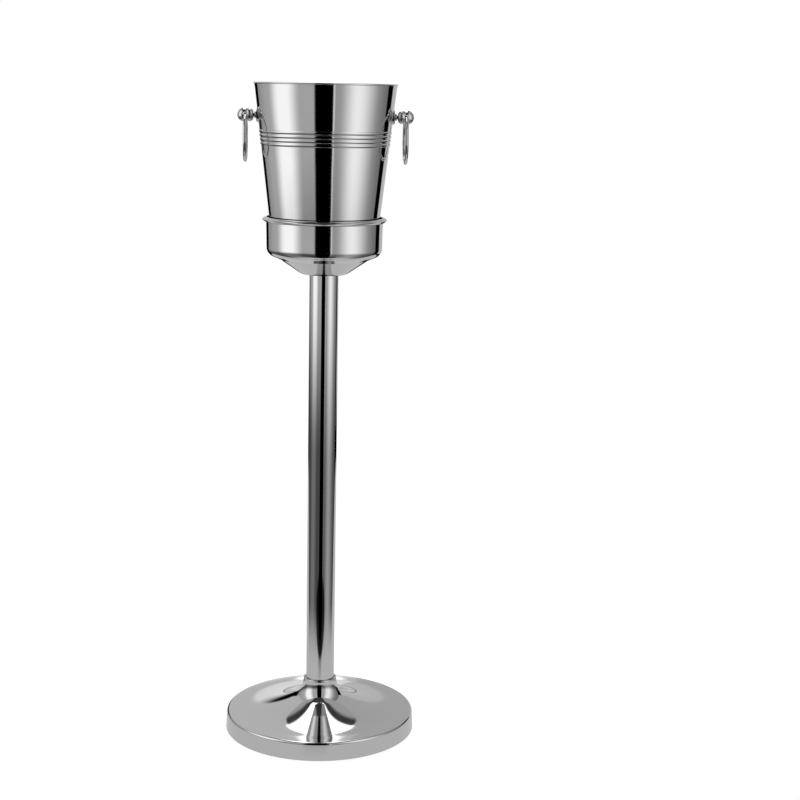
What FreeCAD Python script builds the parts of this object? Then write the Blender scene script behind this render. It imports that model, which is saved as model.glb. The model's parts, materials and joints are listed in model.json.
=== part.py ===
"""Champagne bucket stand: a weighted spun base, a tube pole, a cradle cup and a lift-out bucket.

Frame: +Z up, origin on the floor at the centre of the base, ring handles towards -X and +X.
All lengths are in millimetres.
"""
import FreeCAD, Part
import math
import os
import re

import Sketcher

# ----------------------------------------------------------------------------------------------
# Driving dimensions. Each row is alias, value, meaning.
SIZES = [
    ("total_height", 915.0, "floor to the rim of the bucket"),
    ("seat_depth", 53.0, "bucket's foot below the top of the cup's lip"),
    ("base_diameter", 270.0, "foot of the base's skirt"),
    ("pole_diameter", 40.0, "outside of the pole"),
    ("pole_wall", 1.2, "wall of the pole"),
    ("running_gap", 0.3, "general clearance between pieces that are not fastened"),
    # bucket
    ("bucket_height", 233.0, "foot to rim"),
    ("rim_diameter", 195.0, "outside of the rim's bead"),
    ("foot_diameter", 140.0, "bucket across its foot"),
    ("bucket_wall", 0.8, "sheet of the bucket"),
    ("rim_bead", 1.3, "radius of the bead along the rim"),
    ("bead_stand", 0.9, "how far the bead stands out of the wall"),
    ("foot_round", 2.0, "outside radius at the bucket's foot"),
    ("foot_kick", 3.0, "how far the bucket's floor is pressed up"),
    ("kick_margin", 16.0, "bucket's wall to the pressed-up floor"),
    ("rib_drop", 73.0, "rim down to the middle of the ribs"),
    ("rib_pitch", 5.4, "rib to rib, measured up the axis"),
    ("rib_width", 4.5, "width of a rib"),
    ("rib_round", 3.56, "section radius of a rib"),
    # cradle cup
    ("cup_clearance", 3.35, "bucket to the inside of the cup at its lip"),
    ("cup_draft", 0.8, "how much the wall's radius closes in towards the floor"),
    ("cup_wall", 0.8, "sheet of the cup"),
    ("cup_corner", 12.0, "outside radius between seat and wall"),
    ("seat_angle", 23.0, "slope of the ring that the bucket sits on"),
    ("seat_width", 9.0, "bucket's foot to the inner edge of that ring"),
    ("lip_reach", 5.3, "how far the lip stands out of the wall"),
    ("lip_depth", 6.6, "height of the lip"),
    ("lip_round", 6.0, "section radius of the lip's faces"),
    # dish under the cup
    ("dish_depth", 20.5, "cup's underside down to the dish's underside"),
    ("dish_flat_margin", 10.4, "pole to where the dish's flat middle would meet its cone"),
    ("dish_round", 20.0, "radius between them"),
    ("dish_wall", 0.8, "sheet of the dish"),
    ("pole_fit", 0.05, "pole to the hole in the dish, on radius"),
    # base
    ("skirt_draft", 1.2, "how much the skirt closes in towards its top"),
    ("skirt_top", 26.2, "floor to the sharp corner over the skirt"),
    ("skirt_round", 3.5, "radius over the skirt"),
    ("cover_wall", 0.8, "sheet of the base cover"),
    ("hem_height", 0.8, "floor to the skirt's hem"),
    ("rim_width", 17.7, "nearly flat rim of the cover, inside the skirt"),
    ("rim_angle", 1.0, "slope of that rim"),
    ("bell_angle", 26.0, "slope where the wide sweep turns into the neck's sweep"),
    ("neck_sweep", 28.0, "radius of the sweep below the neck"),
    ("neck_drop", 1.2, "shelf that the pole stands on down to that sweep"),
    ("collar_height", 2.3, "collar above that shelf"),
    ("collar_gap", 0.7, "pole to collar"),
    ("collar_thickness", 2.9, "collar, inside to outside"),
    ("collar_round", 1.1, "how far the collar's crown drops to its sides"),
    ("collar_crown", 1.76, "section radius of that crown"),
    ("weight_thickness", 12.0, "cast disc in the base"),
    ("weight_margin", 7.0, "skirt to cast disc"),
    ("boss_margin", 6.6, "outside of the neck to the top of the cast boss"),
    ("boss_draft", 9.0, "how much wider the boss is at the disc"),
    ("plate_thickness", 1.4, "bottom plate"),
    ("plate_inset", 1.6, "foot of the skirt to the edge of the plate"),
    ("ring_height", 2.2, "rubber floor ring"),
    ("ring_width", 13.0, "rubber floor ring, inside to outside"),
    ("ring_inset", 0.4, "plate's edge to the rubber ring"),
    ("ring_bevel", 1.0, "bevel along the foot of the rubber ring"),
    ("plate_screw_inset", 43.4, "plate's edge to the circle of its screws"),
    # fasteners
    ("bolt_radius", 5.0, "base bolt's thread"),
    ("bolt_reach", 25.0, "base bolt into the pole's plug"),
    ("bolt_flats", 16.0, "base bolt's head across flats"),
    ("bolt_head", 6.4, "base bolt's head height"),
    ("bolt_seat", 24.0, "floor to the seat of the base bolt's washer"),
    ("wrench_room", 6.76, "base bolt's corners to the bore round its head"),
    ("plug_length", 32.0, "plug in each end of the pole"),
    ("washer_thickness", 1.6, "flat washers"),
    ("washer_margin", 4.5, "washer beyond its thread"),
    ("hole_play", 0.5, "clearance round a thread, on radius"),
    ("cup_screw_radius", 4.0, "cup screw's thread"),
    ("cup_screw_reach", 20.0, "cup screw into the pole's plug"),
    ("cup_screw_head", 3.2, "cup screw's head height"),
    ("cup_head_radius", 7.6, "cup screw's head"),
    ("cup_head_crown", 4.48, "section radius over the cup screw's head"),
    ("cup_key", 5.0, "cup screw's socket across flats"),
    ("cup_key_depth", 2.24, "depth of that socket"),
    ("small_screw_radius", 2.0, "plate and knob screws' thread"),
    ("small_screw_reach", 9.0, "small screws below their heads"),
    ("small_head_margin", 1.8, "small screws' heads beyond their threads"),
    ("small_head_height", 1.8, "small screws' heads"),
    ("thread_end_gap", 2.0, "end of a knob screw to the bottom of its thread"),
    # handles
    ("knob_drop", 43.7, "rim down to the knobs' axis"),
    ("rosette_radius", 9.7, "rosette on the wall"),
    ("rosette_stand", 1.6, "rosette's rim off the wall"),
    ("rosette_crown", 2.4, "rosette's middle off the wall"),
    ("rosette_flat", 5.6, "radius of the rosette's middle"),
    ("rosette_edge_rise", 0.4, "dome above the rosette's rim where the edge turns"),
    ("rosette_edge_drop", 0.6, "rim of the edge below the same level"),
    ("rosette_edge_width", 1.2, "width of the turned edge"),
    ("blank_depth", 3.0, "rosette's blank behind the wall's surface, before it is cut"),
    ("stem_radius", 3.2, "knob's stem"),
    ("neck_bead_radius", 5.0, "small bead next to the rosette"),
    ("neck_bead_width", 2.4, "small bead along the axis"),
    ("neck_bead_round", 1.224, "section radius of the small bead"),
    ("knob_bead_start", 6.2, "wall to the near side of the knob's bead"),
    ("knob_bead_foot", 4.7, "radius at the near side of the bead"),
    ("knob_bead_round", 5.3, "section radius of the bead"),
    ("saddle_reach", 13.9, "wall to the waist between bead and ball"),
    ("ball_radius", 9.4, "ball at the knob's end"),
    ("knob_reach", 28.0, "wall to the end of the knob"),
    ("eye_reach", 17.2, "wall to the eye that the ring hangs in"),
    ("eye_clearance", 0.4, "ring's wire to the eye"),
    ("eye_flare", 1.4, "how much wider the eye is at its mouths"),
    ("eye_depth", 2.0, "ball's surface to the start of the flare"),
    ("eye_overrun", 1.1, "end of the flare beyond the ball's surface"),
    ("seal_radius", 6.0, "seal washer inside the bucket"),
    ("seal_stand", 1.5, "seal washer's inner face off the wall"),
    ("ring_diameter", 61.5, "ring handle, centre to centre of its wire"),
    ("ring_wire", 4.8, "diameter of the ring's wire"),
    ("ring_lift", 0.7, "wire's centre above the eye's axis at the middle of the eye"),
]
RIB_COUNT = 4
PLATE_SCREW_COUNT = 3

# Values that follow from the driving dimensions.
DERIVED = [
    ("foot_level", "total_height - bucket_height"),
    ("shelf_height", "total_height - bucket_height + seat_depth"),
    ("foot_radius", "foot_diameter / 2"),
    ("kick_radius", "foot_diameter / 2 - kick_margin"),
    ("wall_top_radius", "rim_diameter / 2 - bead_stand"),
    ("wall_slope", "(rim_diameter / 2 - bead_stand - foot_diameter / 2) / bucket_height"),
    ("knob_level", "total_height - knob_drop"),
    ("wall_at_knob", "foot_radius + wall_slope * (knob_level - foot_level)"),
    ("rib_level", "total_height - rib_drop"),
    ("seat_inner_radius", "foot_diameter / 2 - seat_width"),
    ("cup_radius", "foot_radius + wall_slope * seat_depth + cup_clearance + cup_wall"),
    ("cup_rise", "seat_width * tan(seat_angle) + cup_wall / cos(seat_angle)"),
    ("cup_level", "foot_level - running_gap - cup_rise"),
    ("cup_wall_foot", "cup_radius - cup_draft"),
    ("corner_level", "cup_level + (cup_wall_foot - seat_inner_radius) * tan(seat_angle)"),
    ("corner_run", "cup_corner * tan((90 - seat_angle) / 2)"),
    ("dish_level", "cup_level - dish_depth"),
    ("dish_flat_radius", "pole_diameter / 2 + dish_flat_margin"),
    ("dish_angle", "atan(dish_depth / (seat_inner_radius - dish_flat_radius))"),
    ("dish_run", "dish_round * tan(dish_angle / 2)"),
    ("pole_radius", "pole_diameter / 2"),
    ("plug_radius", "pole_diameter / 2 - pole_wall"),
    ("base_radius", "base_diameter / 2"),
    ("skirt_radius", "base_diameter / 2 - skirt_draft"),
    ("skirt_run", "skirt_round * tan((90 - rim_angle) / 2)"),
    ("neck_radius", "pole_diameter / 2 + collar_gap + collar_thickness"),
    ("rim_inner_radius", "skirt_radius - rim_width"),
    ("rim_inner_level", "skirt_top + rim_width * tan(rim_angle)"),
    ("bell_radius", "neck_radius + neck_sweep * (1 - sin(bell_angle))"),
    ("disc_sweep", "(rim_inner_radius - bell_radius) / (sin(bell_angle) - sin(rim_angle))"),
    ("bell_level", "rim_inner_level + disc_sweep * (cos(rim_angle) - cos(bell_angle))"),
    ("neck_level", "bell_level + neck_sweep * cos(bell_angle) + neck_drop"),
    ("boss_top_radius", "neck_radius - boss_margin"),
    ("boss_foot_radius", "neck_radius - boss_margin + boss_draft"),
    ("counterbore_radius", "bolt_flats / (2 * cos(30)) + wrench_room"),
    ("plate_level", "ring_height"),
    ("weight_level", "ring_height + plate_thickness"),
    ("plate_radius", "base_diameter / 2 - plate_inset"),
    ("plate_screw_circle", "base_diameter / 2 - plate_inset - plate_screw_inset"),
    ("small_head_radius", "small_screw_radius + small_head_margin"),
    ("cup_seat_level", "cup_level + cup_wall + washer_thickness"),
    ("eye_radius", "ring_wire / 2 + ring_lift + eye_clearance"),
    ("eye_mouth_radius", "eye_radius + eye_flare"),
    ("eye_straight", "ball_radius - eye_depth"),
    ("eye_half_length", "ball_radius + eye_overrun"),
    ("weight_radius", "base_diameter / 2 - skirt_draft - weight_margin"),
    ("saddle_radius", "sqrt(ball_radius ^ 2 - (knob_reach - ball_radius - saddle_reach) ^ 2)"),
    ("ring_mean_radius", "ring_diameter / 2"),
    ("eye_x", "wall_at_knob + eye_reach"),
    ("ring_level", "knob_level + ring_lift - ring_diameter / 2"),
]

document = FreeCAD.newDocument("ChampagneBucketStand")
finished = []


def write_sheet(name, rows):
    """Puts (alias, text) rows in a spreadsheet: the alias in column A, the value in column B."""
    sheet = document.addObject("Spreadsheet::Sheet", name)
    for number, (alias, text) in enumerate(rows, start=1):
        sheet.set("A%d" % number, alias)
        sheet.set("B%d" % number, text)
        sheet.setAlias("B%d" % number, alias)
    return sheet


def bound(text):
    """Turns the bare aliases of an expression into references to their sheets."""
    def refer(match):
        word = match.group(0)
        return SHEET_OF.get(word, "") + word
    return re.sub(r"[a-z_]+", refer, text)


SHEET_OF = {alias: "Sizes." for alias, value, meaning in SIZES}
sizes = write_sheet("Sizes", [(alias, str(value)) for alias, value, meaning in SIZES])
document.recompute()
derived = write_sheet("Derived", [(alias, "=" + bound(text)) for alias, text in DERIVED])
document.recompute()
SHEET_OF.update((alias, "Derived.") for alias, text in DERIVED)


def number(text):
    """The value of an expression, as a plain float."""
    result = sizes.evalExpression(bound(text))
    return float(getattr(result, "Value", result))


def bind(target, **expressions):
    """Ties properties of an object to expressions; a double underscore stands for a dot."""
    for key, text in expressions.items():
        target.setExpression(key.replace("__", "."), bound(text))


# ----------------------------------------------------------------------------------------------
# Sketch and feature helpers
def new_body(name):
    body = document.addObject("PartDesign::Body", name)
    body.Label = name
    return body


def new_sketch(body, name, plane):
    """A sketch on one of the body's own origin planes: XY_Plane, XZ_Plane or YZ_Plane."""
    sketch = body.newObject("Sketcher::SketchObject", name)
    origin_plane = next(item for item in body.Origin.OriginFeatures if item.Role == plane)
    sketch.AttachmentSupport = [(origin_plane, "")]
    sketch.MapMode = "FlatFace"
    return sketch


def arc_between(start, end, radius, turn):
    """The short arc from start to end; turn +1 bends left, -1 bends right."""
    middle = (start + end) * 0.5
    chord = end - start
    offset = math.sqrt(max(radius ** 2 - (chord.Length / 2) ** 2, 0.0))
    side = FreeCAD.Vector(-chord.y, chord.x, 0).normalize() * (offset * turn)
    centre = middle + side
    first, last = (start, end) if turn > 0 else (end, start)
    begin_angle = math.atan2(first.y - centre.y, first.x - centre.x)
    end_angle = math.atan2(last.y - centre.y, last.x - centre.x)
    return Part.ArcOfCircle(Part.Circle(centre, FreeCAD.Vector(0, 0, 1), radius), begin_angle, end_angle)


def hold_point(sketch, edge, end, across, up):
    """Fixes an end of an edge at a place given by two expressions, measured from the origin."""
    places = (("DistanceX", across, -2), ("DistanceY", up, -1))
    for kind, text, axis in places:
        value = number(text)
        if abs(value) < 1e-9:
            sketch.addConstraint(Sketcher.Constraint("PointOnObject", edge, end, axis))
            continue
        index = sketch.addConstraint(Sketcher.Constraint(kind, -1, 1, edge, end, value))
        sketch.setExpression("Constraints[%d]" % index, bound(text))


def add_outline(sketch, corners):
    """Draws a closed outline through corners.

    A corner is (across, up) or (across, up, radius, turn): in the second form the edge that
    arrives at the corner is an arc.
    """
    points = [FreeCAD.Vector(number(corner[0]), number(corner[1]), 0) for corner in corners]
    edges = []
    for index, corner in enumerate(corners):
        start, end = points[index - 1], points[index]
        if len(corner) == 2:
            edge = sketch.addGeometry(Part.LineSegment(start, end), False)
            edges.append((edge, 1, 2))
            continue
        radius, turn = corner[2], corner[3]
        edge = sketch.addGeometry(arc_between(start, end, number(radius), turn), False)
        edges.append((edge, 1, 2) if turn > 0 else (edge, 2, 1))
        held = sketch.addConstraint(Sketcher.Constraint("Radius", edge, number(radius)))
        sketch.setExpression("Constraints[%d]" % held, bound(radius))
    for index, (edge, start_end, far_end) in enumerate(edges):
        next_edge, next_start, next_far = edges[(index + 1) % len(edges)]
        sketch.addConstraint(Sketcher.Constraint("Coincident", edge, far_end, next_edge, next_start))
        hold_point(sketch, edge, far_end, corners[index][0], corners[index][1])


def add_circle(sketch, across, up, radius):
    centre = FreeCAD.Vector(number(across), number(up), 0)
    edge = sketch.addGeometry(Part.Circle(centre, FreeCAD.Vector(0, 0, 1), number(radius)), False)
    hold_point(sketch, edge, 3, across, up)
    held = sketch.addConstraint(Sketcher.Constraint("Radius", edge, number(radius)))
    sketch.setExpression("Constraints[%d]" % held, bound(radius))


def add_hexagon(sketch, flats):
    """A regular hexagon round the origin, given the expression of its width across flats."""
    corners = []
    for step in range(6):
        angle = 60 * step + 30
        reach = "(%s) / (2 * cos(30))" % flats
        corners.append(("%s * cos(%d)" % (reach, angle), "%s * sin(%d)" % (reach, angle)))
    add_outline(sketch, corners)


def spun(body, name, corners, axis="V_Axis", kind="PartDesign::Revolution", plane="XZ_Plane"):
    """Turns an outline round a sketch axis, adding to the body or, as a Groove, cutting it."""
    sketch = new_sketch(body, name + "_outline", plane)
    add_outline(sketch, corners)
    feature = body.newObject(kind, name)
    feature.Profile = sketch
    feature.ReferenceAxis = (sketch, [axis])
    feature.Angle = 360
    document.recompute()
    return feature


def hollowed(body, name, solid, wall, levels):
    """Turns a solid into a sheet shell, open at the flat faces that lie at the given heights."""
    open_faces = []
    for level in levels:
        for index, face in enumerate(solid.Shape.Faces, start=1):
            flat = isinstance(face.Surface, Part.Plane)
            if flat and abs(face.CenterOfMass.z - number(level)) < 1e-6:
                open_faces.append("Face%d" % index)
    shell = body.newObject("PartDesign::Thickness", name)
    shell.Base = (solid, open_faces)
    bind(shell, Value=wall)
    shell.Reversed = True
    shell.Join = 1
    document.recompute()
    return shell


def padded(body, name, sketch, length):
    feature = body.newObject("PartDesign::Pad", name)
    feature.Profile = sketch
    bind(feature, Length=length)
    document.recompute()
    return feature


def drilled(body, name, circles, plane="XY_Plane"):
    """Cuts round holes right through the body, both ways from the sketch plane."""
    sketch = new_sketch(body, name + "_circles", plane)
    for across, up, radius in circles:
        add_circle(sketch, across, up, radius)
    feature = body.newObject("PartDesign::Pocket", name)
    feature.Profile = sketch
    feature.Type = "ThroughAll"
    feature.Midplane = True
    document.recompute()
    return feature


def finish(item):
    """Marks an object as one sub-part; its Label names its file."""
    finished.append(item)
    return item


# ----------------------------------------------------------------------------------------------
# Base
def make_base_cover():
    """Spun cover: skirt, nearly flat rim, a wide bell-shaped sweep and the neck that the pole stands on."""
    body = new_body("base_cover")
    solid = spun(body, "cover_solid", [
        ("0", "hem_height"),
        ("base_radius", "hem_height"),
        ("skirt_radius", "skirt_top - skirt_run"),
        ("skirt_radius - skirt_run * cos(rim_angle)", "skirt_top + skirt_run * sin(rim_angle)",
         "skirt_round", 1),
        ("rim_inner_radius", "rim_inner_level"),
        ("bell_radius", "bell_level", "disc_sweep", -1),
        ("neck_radius", "neck_level - neck_drop", "neck_sweep", -1),
        ("neck_radius", "neck_level"),
        ("0", "neck_level"),
    ])
    hollowed(body, "cover_sheet", solid, "cover_wall", ["hem_height"])
    collar_inside = "pole_radius + collar_gap"
    collar_middle = "(pole_radius + collar_gap + neck_radius) / 2"
    collar_top = "neck_level + collar_height"
    spun(body, "collar", [
        (collar_inside, "neck_level - cover_wall / 2"),
        ("neck_radius", "neck_level - cover_wall / 2"),
        ("neck_radius", collar_top + " - collar_round"),
        (collar_middle, collar_top, "collar_crown", 1),
        (collar_inside, collar_top + " - collar_round", "collar_crown", 1),
    ])
    drilled(body, "bolt_hole", [("0", "0", "bolt_radius + hole_play")])
    return finish(body)


def make_base_weight():
    """Cast disc with a tall boss that carries the neck, a counterbore and threads for the plate."""
    body = new_body("base_weight")
    disc_top = "weight_level + weight_thickness"
    spun(body, "casting", [
        ("bolt_radius + hole_play", "bolt_seat"),
        ("counterbore_radius", "bolt_seat"),
        ("counterbore_radius", "weight_level"),
        ("weight_radius", "weight_level"),
        ("weight_radius", disc_top),
        ("boss_foot_radius", disc_top),
        ("boss_top_radius", "neck_level - cover_wall"),
        ("bolt_radius + hole_play", "neck_level - cover_wall"),
    ])
    sketch = new_sketch(body, "thread_circles", "XY_Plane")
    bind(sketch, AttachmentOffset__Base__z="weight_level")
    for step in range(PLATE_SCREW_COUNT):
        angle = step * 360 / PLATE_SCREW_COUNT
        add_circle(sketch, "plate_screw_circle * cos(%g)" % angle,
                   "plate_screw_circle * sin(%g)" % angle, "small_screw_radius")
    holes = body.newObject("PartDesign::Pocket", "plate_threads")
    holes.Profile = sketch
    bind(holes, Length="small_screw_reach")
    holes.Reversed = True
    document.recompute()
    return finish(body)


def make_base_plate():
    body = new_body("base_plate")
    sketch = new_sketch(body, "plate_outline", "XY_Plane")
    add_circle(sketch, "0", "0", "plate_radius")
    padded(body, "plate", sketch, "plate_thickness")
    holes = [("0", "0", "counterbore_radius")]
    for step in range(PLATE_SCREW_COUNT):
        angle = step * 360 / PLATE_SCREW_COUNT
        holes.append(("plate_screw_circle * cos(%g)" % angle,
                      "plate_screw_circle * sin(%g)" % angle, "small_screw_radius + hole_play"))
    drilled(body, "plate_holes", holes)
    bind(body, Placement__Base__z="plate_level")
    return finish(body)


def make_plate_screws():
    """The pan-head screws that hold the plate, as one group of separate solids."""
    body = new_body("plate_screws")
    body.AllowCompound = True
    sketch = new_sketch(body, "screw_outline", "XZ_Plane")
    add_outline(sketch, pan_screw_corners("small_screw_reach", "plate_thickness", "plate_screw_circle"))
    screw = body.newObject("PartDesign::Revolution", "screw")
    axis = sketch.addGeometry(Part.LineSegment(
        FreeCAD.Vector(number("plate_screw_circle"), 0, 0),
        FreeCAD.Vector(number("plate_screw_circle"), number("small_screw_reach"), 0)), True)
    hold_point(sketch, axis, 1, "plate_screw_circle", "0")
    hold_point(sketch, axis, 2, "plate_screw_circle", "small_screw_reach")
    screw.Profile = sketch
    screw.ReferenceAxis = (sketch, ["Axis0"])
    screw.Angle = 360
    document.recompute()
    pattern = body.newObject("PartDesign::PolarPattern", "screws")
    pattern.Originals = [screw]
    pattern.Axis = (next(item for item in body.Origin.OriginFeatures if item.Role == "Z_Axis"), [""])
    pattern.Angle = 360
    pattern.Occurrences = PLATE_SCREW_COUNT
    body.Tip = pattern
    bind(body, Placement__Base__z="plate_level")
    return finish(body)


def pan_screw_corners(reach, under_head, centre):
    """Half outline of a pan-head screw: head below height 0, thread above; a slot is left out."""
    return [
        (centre, "-small_head_height"),
        (centre + " + small_head_radius - small_head_height / 2", "-small_head_height"),
        (centre + " + small_head_radius", "-small_head_height / 2", "small_head_height / 2", 1),
        (centre + " + small_head_radius", "0"),
        (centre + " + small_screw_radius", "0"),
        (centre + " + small_screw_radius", reach + " + " + under_head + " - hole_play"),
        (centre, reach + " + " + under_head + " - hole_play"),
    ]


def make_floor_ring():
    body = new_body("floor_ring")
    outside = "plate_radius - ring_inset"
    inside = "plate_radius - ring_inset - ring_width"
    spun(body, "rubber", [
        (inside + " + ring_bevel", "0"),
        (outside + " - ring_bevel", "0"),
        (outside, "ring_height / 2"),
        (outside, "ring_height"),
        (inside, "ring_height"),
        (inside, "ring_height / 2"),
    ])
    return finish(body)


def make_washer(name, thread, level, upwards):
    """A flat washer on the stand's axis, lying on or hanging under the given height."""
    body = new_body(name)
    sketch = new_sketch(body, name + "_circles", "XY_Plane")
    add_circle(sketch, "0", "0", thread + " + washer_margin")
    add_circle(sketch, "0", "0", thread + " + hole_play / 2")
    padded(body, name + "_disc", sketch, "washer_thickness")
    bind(body, Placement__Base__z=level if upwards else level + " - washer_thickness")
    return finish(body)


def make_base_bolt():
    """Hexagon bolt from below, through the casting and the neck, into the pole's plug."""
    body = new_body("base_bolt")
    sketch = new_sketch(body, "head_hexagon", "XY_Plane")
    add_hexagon(sketch, "bolt_flats")
    padded(body, "head", sketch, "bolt_head")
    shank = new_sketch(body, "shank_circle", "XY_Plane")
    add_circle(shank, "0", "0", "bolt_radius")
    padded(body, "shank", shank, "bolt_head + washer_thickness + neck_level - bolt_seat + bolt_reach")
    bind(body, Placement__Base__z="bolt_seat - washer_thickness - bolt_head")
    return finish(body)


# ----------------------------------------------------------------------------------------------
# Pole
def make_pole_tube():
    body = new_body("pole_tube")
    sketch = new_sketch(body, "tube_circles", "XY_Plane")
    add_circle(sketch, "0", "0", "pole_radius")
    add_circle(sketch, "0", "0", "plug_radius")
    padded(body, "tube", sketch, "cup_level - neck_level")
    bind(body, Placement__Base__z="neck_level")
    return finish(body)


def make_plug(name, level, thread):
    """A threaded steel plug pressed and welded into one end of the pole."""
    body = new_body(name)
    sketch = new_sketch(body, name + "_circles", "XY_Plane")
    add_circle(sketch, "0", "0", "plug_radius")
    add_circle(sketch, "0", "0", thread)
    padded(body, name + "_turned", sketch, "plug_length")
    bind(body, Placement__Base__z=level)
    return finish(body)


# ----------------------------------------------------------------------------------------------
# Cradle
def make_support_dish():
    """Spun dish that carries the cup's floor and closes the joint with the pole."""
    body = new_body("support_dish")
    solid = spun(body, "dish_solid", [
        ("0", "dish_level"),
        ("dish_flat_radius - dish_run", "dish_level"),
        ("dish_flat_radius + dish_run * cos(dish_angle)", "dish_level + dish_run * sin(dish_angle)",
         "dish_round", 1),
        ("seat_inner_radius", "cup_level"),
        ("0", "cup_level"),
    ])
    hollowed(body, "dish_sheet", solid, "dish_wall", ["cup_level"])
    drilled(body, "pole_hole", [("0", "0", "pole_radius + pole_fit")])
    return finish(body)


def make_cradle_cup():
    """Spun cup: flat floor, sloped seat for the bucket, drawn wall and a folded lip."""
    body = new_body("cradle_cup")
    solid = spun(body, "cup_solid", [
        ("0", "cup_level"),
        ("seat_inner_radius", "cup_level"),
        ("cup_wall_foot - corner_run * cos(seat_angle)", "corner_level - corner_run * sin(seat_angle)"),
        ("cup_wall_foot", "corner_level + corner_run", "cup_corner", 1),
        ("cup_radius", "shelf_height"),
        ("0", "shelf_height"),
    ])
    hollowed(body, "cup_sheet", solid, "cup_wall", ["shelf_height"])
    wall = "cup_radius - cup_wall / 2"
    tip = "cup_radius + lip_reach"
    spun(body, "lip", [
        (wall, "shelf_height - lip_depth"),
        ("cup_radius", "shelf_height - lip_depth"),
        (tip, "shelf_height - lip_depth / 2", "lip_round", 1),
        ("cup_radius", "shelf_height", "lip_round", 1),
        (wall, "shelf_height"),
    ])
    drilled(body, "screw_hole", [("0", "0", "cup_screw_radius + hole_play / 2")])
    return finish(body)


def make_cup_screw():
    """Low-headed socket screw from inside the cup into the pole's upper plug."""
    body = new_body("cup_screw")
    spun(body, "screw", [
        ("0", "cup_level - cup_screw_reach"),
        ("cup_screw_radius", "cup_level - cup_screw_reach"),
        ("cup_screw_radius", "cup_seat_level"),
        ("cup_head_radius", "cup_seat_level"),
        ("cup_head_radius", "cup_seat_level + cup_screw_head / 2"),
        ("cup_screw_radius", "cup_seat_level + cup_screw_head", "cup_head_crown", 1),
        ("0", "cup_seat_level + cup_screw_head"),
    ])
    sketch = new_sketch(body, "socket_hexagon", "XY_Plane")
    bind(sketch, AttachmentOffset__Base__z="cup_seat_level + cup_screw_head")
    add_hexagon(sketch, "cup_key")
    socket = body.newObject("PartDesign::Pocket", "socket")
    socket.Profile = sketch
    bind(socket, Length="cup_key_depth")
    document.recompute()
    return finish(body)


# ----------------------------------------------------------------------------------------------
# Bucket
def rib_corners(step):
    """The two wall points of one rib, with the arc between them."""
    middle = "(rib_level + rib_pitch * %g)" % step
    corners = []
    for side in (-1, 1):
        level = "%s + rib_width / 2 * %d" % (middle, side)
        corners.append(("foot_radius + wall_slope * (%s - foot_level)" % level, level))
    across, up = corners[1]
    return [corners[0], (across, up, "rib_round", 1)]


def make_bucket_body():
    """Tapered bucket of one sheet, with pressed ribs, a beaded rim and a pressed-up floor."""
    body = new_body("bucket_body")
    corners = [
        ("0", "foot_level + foot_kick"),
        ("kick_radius", "foot_level + foot_kick"),
        ("kick_radius + foot_kick", "foot_level"),
        ("foot_radius - foot_round", "foot_level"),
        ("foot_radius + wall_slope * foot_round", "foot_level + foot_round", "foot_round", 1),
    ]
    for step in range(RIB_COUNT):
        corners += rib_corners(step - (RIB_COUNT - 1) / 2)
    corners += [
        ("wall_top_radius", "total_height"),
        ("0", "total_height"),
    ]
    solid = spun(body, "bucket_solid", corners)
    hollowed(body, "bucket_sheet", solid, "bucket_wall", ["total_height"])
    bead = new_sketch(body, "bead_circle", "XZ_Plane")
    add_circle(bead, "rim_diameter / 2 - rim_bead", "total_height - rim_bead", "rim_bead")
    rim = body.newObject("PartDesign::Revolution", "rim_bead_roll")
    rim.Profile = bead
    rim.ReferenceAxis = (bead, ["V_Axis"])
    rim.Angle = 360
    document.recompute()
    drilled(body, "knob_holes", [("0", "knob_level", "small_screw_radius + hole_play / 2")], "YZ_Plane")
    return finish(body)


# ----------------------------------------------------------------------------------------------
# Handles
SIDES = (("left", 180, -1), ("right", 0, 1))


def wall_cone(name, inward):
    """The bucket's wall as a solid cone, drawn in by the given thickness."""
    cone = document.addObject("Part::Cone", name)
    bind(cone, Radius1="foot_radius - (%s)" % inward, Radius2="wall_top_radius - (%s)" % inward,
         Height="bucket_height", Placement__Base__z="foot_level")
    return cone


def place_on_side(item, angle):
    """Puts a piece that is made along +X at the knobs' height, turned to its side."""
    item.Placement = FreeCAD.Placement(
        FreeCAD.Vector(0, 0, number("knob_level")), FreeCAD.Rotation(FreeCAD.Vector(0, 0, 1), angle))
    bind(item, Placement__Base__z="knob_level")


def make_rosette(side, angle):
    """Domed washer between wall and knob, its back cut to the wall's cone."""
    disc = new_body("rosette_blank_" + side)
    spun(disc, "rosette_turned_" + side, [
        ("wall_at_knob - blank_depth", "small_screw_radius + hole_play / 2"),
        ("wall_at_knob + rosette_crown", "small_screw_radius + hole_play / 2"),
        ("wall_at_knob + rosette_crown", "rosette_flat"),
        ("wall_at_knob + rosette_stand + rosette_edge_rise", "rosette_radius - rosette_edge_width"),
        ("wall_at_knob + rosette_stand - rosette_edge_drop", "rosette_radius"),
        ("wall_at_knob - blank_depth", "rosette_radius"),
    ], axis="H_Axis")
    place_on_side(disc, angle)
    rosette = document.addObject("Part::Cut", "rosette_" + side)
    rosette.Label = "rosette_" + side
    rosette.Base = disc
    rosette.Tool = wall_cone("rosette_wall_" + side, "0")
    return finish(rosette)


def make_seal(side, angle):
    """Soft washer inside the bucket, its back cut to the wall's cone."""
    blank = new_body("seal_blank_" + side)
    face = "wall_at_knob - bucket_wall - seal_stand"
    spun(blank, "seal_turned_" + side, [
        (face, "small_screw_radius + hole_play / 2"),
        ("wall_at_knob", "small_screw_radius + hole_play / 2"),
        ("wall_at_knob", "seal_radius"),
        (face, "seal_radius"),
    ], axis="H_Axis")
    place_on_side(blank, angle)
    seal = document.addObject("Part::Common", "seal_" + side)
    seal.Label = "seal_" + side
    seal.Base = blank
    seal.Tool = wall_cone("seal_wall_" + side, "bucket_wall * sqrt(1 + wall_slope ^ 2)")
    return finish(seal)


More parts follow.
